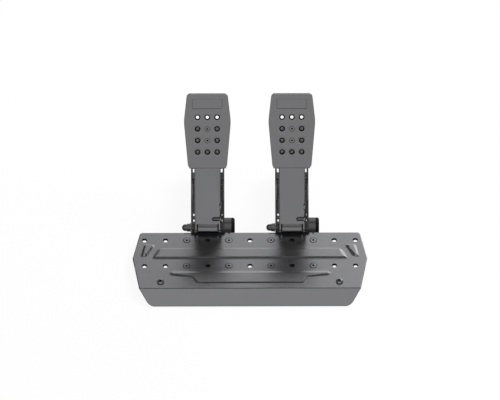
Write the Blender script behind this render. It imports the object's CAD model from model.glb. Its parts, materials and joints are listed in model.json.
"""Looks of a brake and throttle pedal set for a driving simulator: its pieces, finishes and studio stage."""

import json
import math

import bmesh
import bpy
import numpy as np
from bpy.props import FloatProperty, FloatVectorProperty, IntProperty, PointerProperty
from mathutils import Matrix, Vector

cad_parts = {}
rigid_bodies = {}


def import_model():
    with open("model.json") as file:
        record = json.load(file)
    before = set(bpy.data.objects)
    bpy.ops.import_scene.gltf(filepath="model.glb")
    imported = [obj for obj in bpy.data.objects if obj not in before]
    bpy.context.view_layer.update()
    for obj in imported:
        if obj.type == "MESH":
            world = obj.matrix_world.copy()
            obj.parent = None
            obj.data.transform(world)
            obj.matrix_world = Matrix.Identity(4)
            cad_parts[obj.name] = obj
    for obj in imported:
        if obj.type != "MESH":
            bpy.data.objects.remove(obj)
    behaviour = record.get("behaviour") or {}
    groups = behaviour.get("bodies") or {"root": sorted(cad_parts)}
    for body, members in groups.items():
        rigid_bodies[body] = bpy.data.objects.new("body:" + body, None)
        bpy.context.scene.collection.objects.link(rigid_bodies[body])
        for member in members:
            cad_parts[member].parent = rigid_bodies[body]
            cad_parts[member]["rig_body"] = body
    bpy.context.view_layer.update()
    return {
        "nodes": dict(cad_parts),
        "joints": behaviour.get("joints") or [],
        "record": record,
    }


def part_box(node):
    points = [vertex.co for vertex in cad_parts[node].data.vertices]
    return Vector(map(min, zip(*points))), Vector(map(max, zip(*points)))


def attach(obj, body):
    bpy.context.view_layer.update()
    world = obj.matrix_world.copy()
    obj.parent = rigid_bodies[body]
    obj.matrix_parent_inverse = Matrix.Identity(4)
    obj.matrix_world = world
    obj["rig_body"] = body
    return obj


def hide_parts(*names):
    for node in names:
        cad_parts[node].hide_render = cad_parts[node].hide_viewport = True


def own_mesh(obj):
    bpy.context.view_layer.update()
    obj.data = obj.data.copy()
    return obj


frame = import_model()

bl_info = {
    "name": "Pedal Set Dresser",
    "version": (1, 0, 0),
    "blender": (4, 5, 0),
    "location": "View3D > Sidebar > Pedals",
    "description": "Builds the visible pieces, finishes and studio stage of a two-pedal set",
    "category": "Object",
}

MM = 0.001
PEDALS = ("brake", "throttle")
JOINT_AT = {joint["name"]: np.array(joint["pos_m"]) for joint in frame["joints"]}
SLOT_OF = {part["node"]: part["material_slot"] for part in frame["record"]["subparts"]}
BODY_OF = {name: piece["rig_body"] for name, piece in frame["nodes"].items()}
X_AXIS, Y_AXIS, Z_AXIS = np.eye(3)
WHITE = (1.0, 1.0, 1.0, 1.0)
ROUND = 0.0
HEX = 1.0
TURN_COLUMNS = 48
SOCKET_ROWS = 6
RIB_POWER = 1.7

# Hole columns of the plate, from its middle, and hole rows of a face that hold screws; rows of a face.
SEAT_COLUMNS = (1, 3)
FACE_SCREW_ROWS = (1, 2)
FACE_ROWS = 4

# Heights along the arm: the clip's tongue and hook, the line between them, and the stretch of their slots.
TONGUE_AT = 16.6 * MM
HOOK_AT = 35.2 * MM
CLIP_PARTING = 26 * MM
SLOTS_FROM, SLOTS_TO = 10 * MM, 42 * MM

# Shares by which the clip's ends are thinned and the slots round them widened.
CLIP_THINNING = 0.5
SLOT_WIDENING = 0.25

# Heights along the arm between which its tab is bent, and the least length of such a bend.
TAB_FROM, TAB_TO = 0.5 * MM, 9 * MM
TAB_BEND_LEN = 15 * MM

LID_SKIRT = 2.2 * MM
FACE_SEAM = 1.1 * MM

# What lies nearer than this to a line or a surface counts as on it.
NEAR_LINE = 0.05 * MM
NEAR_SURFACE = 0.1 * MM

# Sizes in millimetres; the play is the gap that moving parts keep.
PRELOAD_NUT_H = 7.5
SPRING_SEAT_T = 2
PLAY = 0.3


def length(name, millimetres, description):
    """Property that holds a length; its default is given in millimetres."""
    return FloatProperty(name=name, description=description, default=millimetres * MM,
                         unit="LENGTH", precision=5)


def angle(name, degrees, description):
    """Property that holds an angle; its default is given in degrees."""
    return FloatProperty(name=name, description=description, default=math.radians(degrees), subtype="ANGLE")


def tone(name, colour, description):
    """Property that holds a linear colour."""
    return FloatVectorProperty(name=name, description=description, default=colour, size=3, subtype="COLOR")


def light_level(name, strength, description):
    """Property that holds the strength of a light."""
    return FloatProperty(name=name, description=description, default=strength)


def whole_number(name, number, description):
    """Property that holds a count."""
    return IntProperty(name=name, description=description, default=number)


class PlateSettings(bpy.types.PropertyGroup):
    """Heel plate: a bent sheet with two hole rows, pressed ribs and a front lip."""

    sheet: length("Sheet", 3.0, "Thickness of the sheet")
    top: length("Top", 16.0, "Height of the plate's top above the floor")
    rear_w: length("Rear width", 312.6, "Width at the rear edge")
    widest_w: length("Widest width", 333.6, "Width at the widest line")
    widest_at: length("Widest line", 50.2, "Distance of the widest line from the rear edge")
    bend_w: length("Bend width", 314.4, "Width at the front bend")
    bend_at: length("Bend line", 109.5, "Distance of the front bend from the rear edge")
    bend_r: length("Bend radius", 4.0, "Radius of the front bend")
    lip_len: length("Lip length", 25.767, "Length of the lip from the bend line")
    lip_angle: angle("Lip angle", 30.0, "Slope of the lip below the plate")
    lip_end_w: length("Lip width", 285.4, "Width of the lip's front edge")
    rear_r: length("Rear corners", 4.0, "Radius of the rear corners")
    lip_r: length("Lip corners", 7.0, "Radius of the lip's corners")
    edge_r: length("Edges", 0.6, "Rounding of the sheet's edges")
    rear_row: length("Rear row", 15.3, "Distance of the rear hole row from the rear edge")
    row_gap: length("Row gap", 50.0, "Distance between the hole rows")
    pitch: length("Pitch", 30.0, "Pitch of the hole columns")
    columns: whole_number("Columns", 5, "Hole columns on each side of the middle one")
    hole_d: length("Hole", 7.0, "Diameter of the open holes")
    seat_d: length("Screw seat", 10.0, "Diameter of the flush screws' seats")
    foot_x: length("Foot side", 126.96, "Sideways place of the front feet")
    foot_at: length("Foot place", 96.8, "Distance of the front feet from the rear edge")
    rib_h: length("Rib height", 0.9, "Height of the pressed ribs")
    rib_slope: length("Rib slope", 3.8, "Width of the toe rib's slopes and the wide rib's front slope")
    side_slope: length("Side slope", 2.2, "Width of the other slopes of the ribs")
    hole_taper: length("Hole taper", 0.6, "Narrowing of the holes toward the underside")


class FaceSettings(bpy.types.PropertyGroup):
    """Pedal face with a grid of holes and a bare recess."""

    bottom: length("Bottom", 93.8, "Distance of the bottom edge from the pivot, along the arm")
    height: length("Height", 111.1, "Height of the face")
    width: length("Width", 66.7, "Widest width")
    widest_at: length("Widest line", 41.8, "Distance of the widest line from the top edge")
    top_w: length("Top width", 57.7, "Width at the top edge")
    bottom_w: length("Bottom width", 55.0, "Width at the bottom edge")
    corner_r: length("Corners", 5.3, "Radius of the corners")
    edge_r: length("Edges", 0.8, "Rounding of the edges")
    thickness: length("Thickness", 4.0, "Thickness of the face")
    row_at: length("First row", 34.9, "Distance of the top hole row from the top edge")
    row_pitch: length("Row pitch", 17.3, "Pitch of the hole rows")
    column_pitch: length("Column pitch", 13.9, "Pitch of the hole columns")
    hole_d: length("Hole", 4.6, "Diameter of the holes")
    hole_edge: length("Countersink", 1.8, "Width of the holes' countersinks")
    hole_flare: length("Hole flare", 1.2, "Widening of the holes toward the back")
    seat_d: length("Screw seat", 7.6, "Diameter of the screws' seats")
    recess_w: length("Recess width", 43.0, "Width of the recess")
    recess_h: length("Recess height", 14.9, "Height of the recess")
    recess_at: length("Recess place", 7.5, "Distance of the recess from the top edge")
    recess_depth: length("Recess depth", 0.9, "Depth of the recess")


class ModuleSettings(bpy.types.PropertyGroup):
    """Arm, bracket, pivot and spring rod of one pedal."""

    lean: angle("Lean", 62.0, "Lean of the arm from the floor")
    web_front: length("Web", 12.0, "Distance of the arm's front from the pivot axis")
    arm_w: length("Arm width", 37.5, "Width of the arm")
    arm_sheet: length("Arm sheet", 3.0, "Thickness of the arm's sheet")
    bend_r: length("Arm bends", 1.8, "Radius of the arm's long bends")
    wall_in: length("Wall", 21.25, "Inner face of the bracket's walls, from the module's middle")
    wall_sheet: length("Wall sheet", 2.5, "Thickness of the bracket's sheet")
    foot_h: length("Foot height", 10.5, "Height of the bracket above the floor")
    axle_d: length("Axle", 8.0, "Diameter of the axle")
    rod_d: length("Rod", 8.0, "Diameter of the spring rod")
    thread_pitch: length("Thread pitch", 1.25, "Pitch of the rod's thread")
    block_depth: length("Block depth", 16.0, "Depth of the swivelling block along the rod")
    preload_at: length("Preload nut", 12.0, "Distance of the preload nut from the rod pin")
    brake_spring_d: length("Brake spring", 20.0, "Outer diameter of the brake spring")
    brake_wire: length("Brake wire", 3.2, "Wire of the brake spring")
    brake_turns: whole_number("Brake turns", 8, "Turns of the brake spring")
    brake_stroke: length("Brake stroke", 11.29, "Shortening of the brake spring in a full press")
    throttle_spring_d: length("Throttle spring", 18.0, "Outer diameter of the throttle spring")
    throttle_wire: length("Throttle wire", 2.5, "Wire of the throttle spring")
    throttle_turns: whole_number("Throttle turns", 11, "Turns of the throttle spring")
    throttle_stroke: length("Throttle stroke", 15.57, "Shortening of the throttle spring in a full press")


class StageSettings(bpy.types.PropertyGroup):
    """Camera and studio light."""

    distance: length("Distance", 20000.0, "From the camera to its target")
    elevation: angle("Elevation", 46.2, "Height of the camera above the floor")
    roll: angle("Roll", -0.15, "Turn of the picture")
    frame_width: length("Frame width", 712.5, "Width of the picture at the target")
    target_x: length("Target X", 0.3, "Sideways place of the picture's middle")
    target_height: length("Target height", 40.94,
                          "Height of the picture's middle, which lies as far behind the origin")
    back_panel: light_level("Back panel", 1.52, "Strength of the white wall behind")
    front_panel: light_level("Front panel", 1.0, "Strength of the screen above")
    side_panel: light_level("Side panels", 0.55, "Strength of the panels at the sides")
    dark_panel: light_level("Dark panel", 0.17, "Strength of the room between them")
    panel_top: angle("Back panel top", 50.0, "Height of the top of the white wall behind")
    screen_edge: angle("Screen edge", 86.0, "Start of the screen above, counted up from the wall behind")
    key_power: FloatProperty(name="Key", description="Power of the lamp above", default=60.0, unit="POWER")


class FinishSettings(bpy.types.PropertyGroup):
    """Colours of the finishes."""

    coat: tone("Powder coat", (0.205, 0.206, 0.212), "Satin coat of the sheet metal")
    face: tone("Pedal face", (0.247, 0.247, 0.254), "Blasted and anodised faces")
    web: tone("Bare web", (0.42, 0.42, 0.43), "Matt steel of the arms behind the faces")
    bend: tone("Tab bend", (0.21, 0.21, 0.215), "Matt steel of the arms at the step of their tabs")
    bore: tone("Bores", (0.006, 0.006, 0.006), "Bores, sockets and slots")
    oxide: tone("Black steel", (0.045, 0.045, 0.048), "Brackets, screws, nuts and bolts")
    zinc: tone("Zinc", (0.52, 0.52, 0.54), "Plated rods and pins")
    dull: tone("Dull steel", (0.112, 0.112, 0.115), "Dome nuts")
    bronze: tone("Bronze", (0.062, 0.050, 0.038), "Bushes and thrust washers")
    plastic: tone("Plastic", (0.021, 0.021, 0.023), "Sensor housings")
    lid: tone("Lid", (0.004, 0.004, 0.004), "Lids of the sensors")
    rubber: tone("Rubber", (0.025, 0.025, 0.026), "Feet and cable inlets")
    board: tone("Board", (0.03, 0.16, 0.08), "Solder mask of the sensor boards")
    spring: tone("Spring", (0.05, 0.05, 0.055), "Epoxy coat of the springs")


def smooth(t):
    """Smooth step: 0 below 0, 1 above 1, and 3 t squared less 2 t cubed between."""
    t = np.clip(t, 0.0, 1.0)
    return t * t * (3.0 - 2.0 * t)


def unit(vector):
    return np.asarray(vector, float) / np.linalg.norm(vector)


def grid_quads(rows, columns, loop=False):
    """Quads of a grid of points, row by row; with loop, the last column joins the first."""
    across = columns if loop else columns - 1
    row, column = np.meshgrid(np.arange(rows - 1), np.arange(across), indexing="ij")
    right = (column + 1) % columns
    corners = (row * columns + column, row * columns + right,
               (row + 1) * columns + right, (row + 1) * columns + column)
    return np.stack([corner.ravel() for corner in corners], axis=1)


def joined(*shapes):
    """One shape of several: their points in a row, with each shape's faces counted on."""
    starts = np.cumsum([0] + [len(points) for points, faces in shapes[:-1]])
    points = np.concatenate([points for points, faces in shapes])
    return points, np.concatenate([faces + start for (_, faces), start in zip(shapes, starts)])


def placed(shape, origin, axis, side=X_AXIS):
    """The shape with its Z turned to an axis and its X kept near the side, moved to the origin point."""
    points, faces = shape
    up = unit(axis)
    depth = unit(np.cross(up, side))
    return points @ np.stack([np.cross(depth, up), depth, up]) + origin, faces


def copies(shape, places, axis=Z_AXIS):
    """The shape at each of the places, all along one axis."""
    side = Y_AXIS if abs(axis[0]) > 0.9 else X_AXIS
    return joined(*[placed(shape, place, axis, side) for place in places])


def both_ways(shape, place, side=Y_AXIS):
    """The shape at a place twice: along X and against it."""
    return joined(*[placed(shape, place, way * X_AXIS, side) for way in (-1, 1)])


def eased(stations, ease, closed=False, steps=4):
    """Stations with their corners rounded.

    Each corner gives way to a curve from a point that lies the ease before it to one that lies the ease
    after it, or half way along a shorter side: (1-t) squared of the first, 2t(1-t) of the corner and t
    squared of the last.
    """
    corner = np.array([(*row, ROUND) if len(row) == 2 else row for row in stations], float)
    before, after = np.roll(corner, 1, axis=0), np.roll(corner, -1, axis=0)

    def toward(other):
        gap = np.linalg.norm((other - corner)[:, :2], axis=1)
        share = np.minimum(ease / np.maximum(gap, 1e-9), 0.48)
        return corner + (other - corner) * share[:, None]

    t = np.linspace(0.0, 1.0, steps + 1)[None, :, None]
    curve = ((1 - t) ** 2 * toward(before)[:, None] + 2 * t * (1 - t) * corner[:, None]
             + t ** 2 * toward(after)[:, None])
    if closed:
        return np.concatenate([curve.reshape(-1, 3), curve[0, :1]])
    return np.concatenate([corner[:1], curve[1:-1].reshape(-1, 3), corner[-1:]])


def turned(stations, columns=TURN_COLUMNS):
    """Surface turned round Z from stations of (height, radius, hexness).

    At the angle a from the middle of the nearest of six flats, the radius grows by the hexness times
    (1 / cos a - 1), so a hexness of 1 is a hexagon by its inner radius and 0 is a circle.
    """
    height, radius, hexness = np.asarray(stations, float).T
    turn = np.linspace(0.0, 2.0 * np.pi, columns, endpoint=False)
    from_flat = (turn + np.pi / 6) % (np.pi / 3) - np.pi / 6
    reach = radius[:, None] * (1.0 + hexness[:, None] * (1.0 / np.cos(from_flat) - 1.0))
    return swept_round(reach, turn, height)


def swept_round(reach, turn, height):
    """Closed rings round Z, in millimetres, by the radius at each height and turn."""
    points = np.stack([reach * np.cos(turn), reach * np.sin(turn), height[:, None] + 0.0 * reach], axis=-1)
    return points.reshape(-1, 3) * MM, grid_quads(len(height), len(turn), loop=True)


def lathe(stations, ease, closed=False):
    """Turned surface of stations whose corners are rounded, in millimetres."""
    return turned(eased(stations, ease, closed))


def ring(bore_d, outer_d, start, stop, ease=0.3):
    """Tube or washer round Z with rounded edges, in millimetres."""
    inner, outer = bore_d / 2, outer_d / 2
    return lathe([(start, inner), (start, outer), (stop, outer), (stop, inner)], ease, closed=True)


def add_piece(name, shape, node, marks=None, finishes=None, sharp=32.0):
    """Object of a shape: doubles merged, loose points removed, faces outwards, edges sharp above an angle.

    It takes the body and the slot of the node that it stands for. Marks give each face's finish.
    """
    points, faces = shape
    mesh = bpy.data.meshes.new(name)
    mesh.from_pydata(points.tolist(), [], faces.tolist())
    if marks is not None:
        mesh.polygons.foreach_set("material_index", marks.astype(np.int32))
    return finish_piece(name, mesh, node, finishes, sharp)


def finish_piece(name, mesh, node, finishes=None, sharp=32.0, flatten=False):
    """Cleans a mesh, shades it and puts it on the body of the node that it replaces."""
    work = bmesh.new()
    work.from_mesh(mesh)
    bmesh.ops.remove_doubles(work, verts=work.verts, dist=2e-6)
    bmesh.ops.dissolve_degenerate(work, edges=work.edges, dist=1e-7)
    bmesh.ops.delete(work, geom=[point for point in work.verts if not point.link_faces], context="VERTS")
    if flatten:
        bmesh.ops.dissolve_limit(work, angle_limit=math.radians(0.5), verts=work.verts, edges=work.edges)
    bmesh.ops.recalc_face_normals(work, faces=work.faces)
    work.to_mesh(mesh)
    work.free()
    mesh.polygons.foreach_set("use_smooth", np.ones(len(mesh.polygons), bool))
    mesh.set_sharp_from_angle(angle=math.radians(sharp))
    for finish in finishes or (SLOT_OF[node],):
        mesh.materials.append(finish_named(finish))
    piece = bpy.data.objects.new(name, mesh)
    bpy.context.scene.collection.objects.link(piece)
    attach(piece, BODY_OF[node])
    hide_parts(node)
    return piece


def whole_copy(node, finishes=None):
    """Copy of a bent or moulded node with its flat faces made whole."""
    mesh = frame["nodes"][node].data.copy()
    mesh.materials.clear()
    return finish_piece(f"{node}_skin", mesh, node, finishes, sharp=45.0, flatten=True)


def add_bevel(piece, name, width, **options):
    """Bevel of a piece's edges."""
    bevel = piece.modifiers.new(name, "BEVEL")
    for key, value in {"width": width, "harden_normals": True, **options}.items():
        setattr(bevel, key, value)


def round_edges(piece, width):
    """Rounds the sharp edges of a piece."""
    add_bevel(piece, "edges", width, segments=2, limit_method="ANGLE", angle_limit=math.radians(40.0),
              use_clamp_overlap=True)


def round_bends(piece, chosen, radius):
    """Rounds the chosen edges of a piece, which are bends of its sheet."""
    weights = piece.data.attributes.new("bevel_weight_edge", "FLOAT", "EDGE")
    weights.data.foreach_set("value", chosen.astype(np.float32))
    add_bevel(piece, "bends", radius, segments=5, limit_method="WEIGHT", use_clamp_overlap=False)


def hide_from_mirrors(*pieces):
    """Keeps pieces out of the mirror image on the plate, where the photo shows only the arms."""
    for piece in pieces:
        piece.visible_glossy = False


def cut_across(piece, point, normal):
    """Cuts a piece's faces along a plane and leaves them joined."""
    work = bmesh.new()
    work.from_mesh(piece.data)
    geometry = work.verts[:] + work.edges[:] + work.faces[:]
    bmesh.ops.bisect_plane(work, geom=geometry, plane_co=point, plane_no=normal)
    work.to_mesh(piece.data)
    work.free()


def read_rows(items, name, columns=3, kind=float):
    """Values of mesh items as one row for each item."""
    values = np.empty(columns * len(items), kind)
    items.foreach_get(name, values)
    return values.reshape(-1, columns)


def repaint(piece, finish, chosen):
    """Gives the chosen faces of a piece another finish."""
    mesh = piece.data
    index = read_rows(mesh.polygons, "material_index", 1, np.int32).ravel()
    index[chosen] = len(mesh.materials)
    mesh.materials.append(finish_named(finish))
    mesh.polygons.foreach_set("material_index", index)


def hole_lines(radius, bevel, reach):
    """Grid lines round a hole: at the tangents of every 15 degrees, past its bevel and at its reach."""
    out = np.concatenate([radius * np.tan(np.radians([0.0, 15.0, 30.0, 45.0])), [radius + bevel, reach]])
    return np.concatenate([-out[:0:-1], out])


def grid_lines(stop_lines, fills):
    """Sorted lines: the stop lines, and fill lines of (from, to, step) that keep clear of them."""
    kept = np.unique(np.round(np.concatenate(stop_lines), 7))
    for low, high, step in fills:
        fill = np.linspace(low, high, max(2, int(round((high - low) / step)) + 1))
        gap = np.abs(fill[:, None] - kept[None, :]).min(axis=1)
        kept = np.unique(np.concatenate([kept, fill[gap > 0.45 * step]]))
    return kept


def drilled(x, v, holes, flare=0.0):
    """Round holes in a grid.

    Round each hole (x, v, radius, bevel, reach) the square rings of grid points are drawn into circles:
    a point is scaled by its larger coordinate over its distance, and this fades out at the reach. The flare
    is added to the radius and fades out in the same way.
    Returns the moved grid, the depth of the bevels, the cells that are left and the points of the bores.
    """
    new_x, new_v = x.copy(), v.copy()
    depth = np.zeros_like(x)
    inside = np.zeros(x.shape, bool)
    bore = np.zeros(x.shape, bool)
    for at_x, at_v, radius, bevel, reach in holes:
        a, b = x - at_x, v - at_v
        square = np.maximum(np.abs(a), np.abs(b))
        scale = square / np.maximum(np.hypot(a, b), 1e-9)
        scale = 1.0 + (scale - 1.0) * (1.0 - smooth((square - radius - bevel) / (reach - radius - bevel)))
        wider = flare * (1.0 - smooth((square - radius) / (reach - radius)))
        scale *= 1.0 + wider / np.maximum(square, radius)
        near = square < reach
        new_x = np.where(near, at_x + a * scale, new_x)
        new_v = np.where(near, at_v + b * scale, new_v)
        depth = np.maximum(depth, np.clip(radius + bevel - square, 0.0, bevel))
        inside |= square < radius - 1e-7
        bore |= square < radius + bevel + 1e-7
    gone = inside[:-1, :-1] | inside[1:, :-1] | inside[:-1, 1:] | inside[1:, 1:]
    return new_x, new_v, depth, ~gone, bore


def drilled_grid(rows, columns, fixed, half, holes, flare):
    """Drilled grid of a sheet between its outlines, and the places of its points at the flared back."""
    x = stretched(columns, fixed, half)
    v = np.repeat(rows[:, None], len(columns), axis=1)
    return drilled(x, v, holes), drilled(x, v, holes, flare)[:2]


def sheet_skin(front, back, kept, bore):
    """Closed skin of a sheet from its two grids: both sides, and a wall along each edge of a single cell."""
    rows, columns = front.shape[:2]
    count = rows * columns
    cells = grid_quads(rows, columns)[kept.ravel()]
    edges = np.concatenate([cells[:, [k, (k + 1) % 4]] for k in range(4)])
    key = edges.min(axis=1) * count + edges.max(axis=1)
    _, where, uses = np.unique(key, return_inverse=True, return_counts=True)
    rim = edges[uses[where] == 1]
    walls = np.stack([rim[:, 1], rim[:, 0], rim[:, 0] + count, rim[:, 1] + count], axis=1)
    faces = np.concatenate([cells, cells[:, ::-1] + count, walls])
    marks = np.tile(bore.ravel(), 2)[faces].all(axis=1)
    return np.concatenate([front.reshape(-1, 3), back.reshape(-1, 3)]), faces, marks


def edge_drop(gap, radius):
    """Depth of a rounded edge at a distance from its end: the radius less the height of its circle."""
    run = np.clip(radius - gap, 0.0, radius)
    return radius - np.sqrt(radius ** 2 - run ** 2)


def stretched(lines, fixed, half):
    """Columns that stay in place up to a fixed half width and spread evenly from there to the outline."""
    full = np.abs(lines).max()
    reach = np.abs(lines)[None, :]
    share = (reach - fixed[:, None]) / (full - fixed[:, None])
    outer = fixed[:, None] + share * (half - fixed)[:, None]
    return np.sign(lines)[None, :] * np.where(reach <= fixed[:, None], reach, outer)


def inside_gap(x, v, corners, radius):
    """Distance inside a convex outline with rounded corners.

    With d the distance from each side's line, it is the radius less the root of the sum of the squares of
    the radius less d, for the sides that are nearer than the radius.
    """
    corners = np.asarray(corners, float)
    sides = np.roll(corners, -1, axis=0) - corners
    normals = np.stack([-sides[:, 1], sides[:, 0]], axis=1) / np.linalg.norm(sides, axis=1)[:, None]
    middle = corners.mean(axis=0)
    normals *= np.sign(((middle - corners) * normals).sum(axis=1))[:, None]
    gap = (x[..., None] - corners[:, 0]) * normals[:, 0] + (v[..., None] - corners[:, 1]) * normals[:, 1]
    return radius - np.sqrt((np.maximum(radius - gap, 0.0) ** 2).sum(axis=-1))


def sharp_half_width(s, plate):
    """Half the plate's width along its sheet, with sharp corners."""
    return np.interp(s, [0.0, plate.widest_at, plate.bend_at, plate_length(plate)],
                     np.array([plate.rear_w, plate.widest_w, plate.bend_w, plate.lip_end_w]) / 2)


def plate_half_width(s, plate):
    """Half the plate's width along its sheet, with round rear and lip corners."""
    drop = edge_drop(s, plate.rear_r) + edge_drop(plate_length(plate) - s, plate.lip_r)
    return sharp_half_width(s, plate) - drop


def bend_start(plate):
    return plate.bend_at - plate.bend_r * math.tan(plate.lip_angle / 2)


def plate_length(plate):
    """Length of the sheet from its rear edge over the bend to the lip's edge."""
    straight = plate.lip_len - plate.bend_r * math.tan(plate.lip_angle / 2)
    return bend_start(plate) + plate.bend_r * plate.lip_angle + straight


def rib_outlines(plate):
    """Pressed ribs as (convex outline of (x, v), width of its slopes, width of its front slope).

    Between the hole rows there are a narrow rib at each side and a wide one. The toe rib in front of the
    second row is made of two outlines, a long one and a deep one.
    """
    row = plate.rear_row + plate.row_gap
    side_rear, side_front = plate.rear_row + 8.2 * MM, row - 17.6 * MM
    wide_rear, wide_front = plate.rear_row + 16.2 * MM, row - 13.6 * MM
    margin, gap, side_w, narrowing = 10.8 * MM, 9.5 * MM, 16.0 * MM, 8.2 * MM
    toe, tip, tip_slant, toe_margin = row + 10.5 * MM, 8.5 * MM, 4 * MM, 46.0 * MM
    middle, long_sag, deep = 79.0 * MM, 4.2 * MM, 24.0 * MM

    def half(v):
        return sharp_half_width(v, plate)

    def side_in(v):
        return half(v) - margin - side_w + narrowing * (v - side_rear) / (side_front - side_rear)

    def mirrored(points):
        return [(-x, v) for x, v in points]

    def whole(right):
        return right + mirrored(right)[::-1]

    side = [(half(side_rear) - margin, side_rear), (side_in(side_rear), side_rear),
            (side_in(side_front), side_front), (half(side_front) - margin, side_front)]
    wide = whole([(side_in(wide_rear) - gap, wide_rear), (side_in(wide_front) - gap, wide_front)])
    end = half(toe + tip / 2) - toe_margin
    long_toe = whole([(end - tip_slant, toe), (end, toe + tip / 2), (end - tip_slant, toe + tip),
                      (middle + 3 * MM, toe + tip + long_sag)])
    deep_toe = whole([(middle + 12 * MM, toe), (middle - 3 * MM, toe + deep)])
    steep, soft = plate.side_slope, plate.rib_slope
    return [(side, steep, steep), (mirrored(side), steep, steep), (wide, steep, soft),
            (long_toe, soft, soft), (deep_toe, soft, soft)]


def plate_holes(plate):
    """Holes as (x, v, radius, bevel, reach): open ones, the screws' seats and the front feet's."""
    bevel, grid_reach, foot_reach = 0.3 * MM, 7.4 * MM, 5.4 * MM
    rows = (plate.rear_row, plate.rear_row + plate.row_gap)
    radius, seat = plate.hole_d / 2, plate.seat_d / 2
    grid = [(column * plate.pitch, row, seat if abs(column) in SEAT_COLUMNS else radius, bevel, grid_reach)
            for column in range(-plate.columns, plate.columns + 1) for row in rows]
    feet = [(side * plate.foot_x, plate.foot_at, radius, bevel, foot_reach) for side in (-1, 1)]
    return grid + feet


def plate_lines(plate, holes, ribs):
    """Grid lines of the plate: rows along its sheet and columns across it, closer at edges and slopes."""
    start, end = bend_start(plate), plate_length(plate)
    full = 159.5 * MM
    edge = np.array([0.0, 0.06, 0.25, 0.6, 1.4, 2.6, 4.2, 7.0]) * MM
    columns = [hole[0] + hole_lines(*hole[2:]) for hole in holes if hole[1] != plate.rear_row]
    rows = [hole[1] + hole_lines(*hole[2:]) for hole in holes]
    steps = np.linspace(0.0, 1.0, 6)
    for outline, slope, front_slope in ribs:
        low, high = min(v for x, v in outline), max(v for x, v in outline)
        rows += [low + slope * steps, high - front_slope * steps]
    rows += [edge, end - edge, start + np.linspace(0.0, 1.0, 7) * plate.bend_r * plate.lip_angle]
    rows += [start - np.array([0.2, 0.8, 2.0]) * MM]
    columns += [side * (full - edge[:4]) for side in (-1, 1)]
    stretches = ((118, 158, 1.0), (108, 118, 1.0), (74, 86, 1.0), (0, 74, 4), (86, 108, 4))
    fills = [(*sorted((side * low * MM, side * high * MM)), step * MM)
             for side in (-1, 1) for low, high, step in stretches]
    rows = grid_lines(rows, [(76 * MM, 98 * MM, 1.3 * MM), (0.0, end, 3.2 * MM)])
    return rows, grid_lines(columns, fills)


def plate_shape(plate, rear):
    """Bent sheet with ribs and holes.

    A point is s along the sheet and x across it. The path runs forward from the rear edge, turns down by s
    over the bend radius up to the lip's angle and goes on straight. Each rib adds its height times a power
    of the share of its slope that is climbed at the point. The back is the front less the sheet, along the
    path's normal.
    """
    holes, ribs = plate_holes(plate), rib_outlines(plate)
    start, turn, end = bend_start(plate), plate.lip_angle, plate_length(plate)
    rib_corner = 3 * MM
    rows, columns = plate_lines(plate, holes, ribs)
    fixed = np.interp(rows / MM, [0, 7.8, 73, 102, 106, end / MM], [140, 155.2, 155.2, 134, 128, 126]) * MM
    half = plate_half_width(rows, plate)
    front_grid, (back_x, back_s) = drilled_grid(rows, columns, fixed, half, holes, -plate.hole_taper)
    x, s, bevel, kept, bore = front_grid
    rise = np.zeros_like(x)
    for outline, slope, front_slope in ribs:
        to_front = max(at_v for at_x, at_v in outline) - s
        share = np.minimum(inside_gap(x, s, outline, rib_corner) / slope, to_front / front_slope)
        rise = np.maximum(rise, np.clip(share, 0.0, 1.0) ** RIB_POWER * plate.rib_h)
    gap = np.minimum(np.minimum(s, end - s), plate_half_width(s, plate) - np.abs(x))
    drop = edge_drop(gap, plate.edge_r)
    phi = np.clip((s - start) / plate.bend_r, 0.0, turn)
    past = np.maximum(s - start - plate.bend_r * turn, 0.0)
    y = -np.minimum(s, start) - plate.bend_r * np.sin(phi) - past * math.cos(turn)
    z = plate.top - plate.bend_r * (1.0 - np.cos(phi)) - past * math.sin(turn)
    normal = np.stack([0.0 * phi, -np.sin(phi), np.cos(phi)], axis=-1)
    path = np.stack([x, rear + y, z], axis=-1)
    front = path + (rise - drop - bevel)[..., None] * normal
    taper = np.stack([back_x - x, s - back_s, 0.0 * x], axis=-1)
    back = path + taper + (rise + drop - plate.sheet)[..., None] * normal
    return sheet_skin(front, back, kept, bore)


def face_half_width(u, face):
    """Half the face's width at a height along the arm, with a soft widest line and round corners."""
    top = face.bottom + face.height
    heights = [face.bottom, top - face.widest_at, top]
    halves = np.array([face.bottom_w, face.width, face.top_w]) / 2
    soft = 4 * MM
    half = sum(np.interp(u + shift, heights, halves) for shift in (-soft, 0.0, soft)) / 3
    return half - edge_drop(u - face.bottom, face.corner_r) - edge_drop(top - u, face.corner_r)


def face_row(face, i):
    """Height along the arm of one of the face's hole rows, counted from the top."""
    return face.bottom + face.height - face.row_at - i * face.row_pitch


def face_holes(face):
    """Holes as (x, u, radius, bevel, reach): four rows of three, two of them with screws in the middle."""
    reach = 5.6 * MM
    open_hole = (face.hole_d / 2, face.hole_edge, reach)
    seat = (face.seat_d / 2, 0.15 * MM, reach)
    return [(j * face.column_pitch, face_row(face, i),
             *(seat if j == 0 and i in FACE_SCREW_ROWS else open_hole))
            for i in range(FACE_ROWS) for j in (-1, 0, 1)]


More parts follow.
